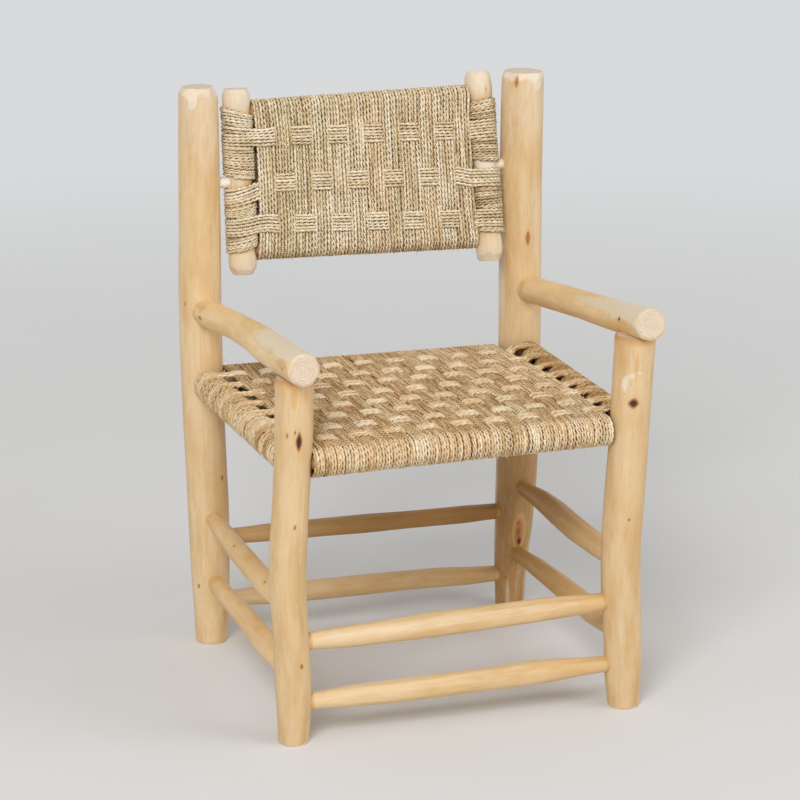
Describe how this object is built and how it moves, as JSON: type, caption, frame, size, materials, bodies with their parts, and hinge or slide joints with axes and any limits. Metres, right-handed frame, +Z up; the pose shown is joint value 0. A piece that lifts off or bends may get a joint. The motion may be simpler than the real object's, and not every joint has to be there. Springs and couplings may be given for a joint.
{
  "type": "wooden armchair",
  "caption": "Stick-built armchair of peeled branches with a woven rope seat and a woven rope back panel that swivels between its rear posts.",
  "frame": {"origin": "on the floor, under the middle of the chair's bounding box", "axes": "+Z up, -Y the way a sitter faces, +X the right-hand side seen from the front"},
  "size_m": [0.608, 0.58, 0.907],
  "materials": {
    "peeled_branch": "bare peeled branch, whittled, satin",
    "whittled_peg": "bare whittled wood, matte",
    "rope_wound_rail": "bare rough branch, matte",
    "seat_rope": "twisted grass rope, woven, matte",
    "back_rope": "twisted grass rope, woven, matte"
  },
  "bodies": {
    "frame": {"rear_left_post": "peeled_branch", "rear_right_post": "peeled_branch", "front_left_leg": "peeled_branch", "front_right_leg": "peeled_branch", "left_arm": "peeled_branch", "right_arm": "peeled_branch", "front_upper_stretcher": "peeled_branch", "front_lower_stretcher": "peeled_branch", "rear_upper_stretcher": "peeled_branch", "rear_lower_stretcher": "peeled_branch", "left_upper_stretcher": "peeled_branch", "left_lower_stretcher": "peeled_branch", "right_upper_stretcher": "peeled_branch", "right_lower_stretcher": "peeled_branch", "seat_front_rail": "rope_wound_rail", "seat_rear_rail": "rope_wound_rail", "seat_left_rail": "rope_wound_rail", "seat_right_rail": "rope_wound_rail", "seat_warp": "seat_rope", "seat_weft_left": "seat_rope", "seat_weft_right": "seat_rope", "left_pivot_peg": "whittled_peg", "right_pivot_peg": "whittled_peg"},
    "back_panel": {"back_left_stile": "peeled_branch", "back_right_stile": "peeled_branch", "back_top_rail": "rope_wound_rail", "back_bottom_rail": "rope_wound_rail", "back_warp": "back_rope", "back_weft_left": "back_rope", "back_weft_right": "back_rope"}
  },
  "joints": [
    {"name": "back_tilt", "type": "hinge", "parent": "frame", "child": "back_panel", "pos_m": [-0.00144, 0.23945, 0.754], "axis": [1, 0, 0], "continuous": true}
  ]
}
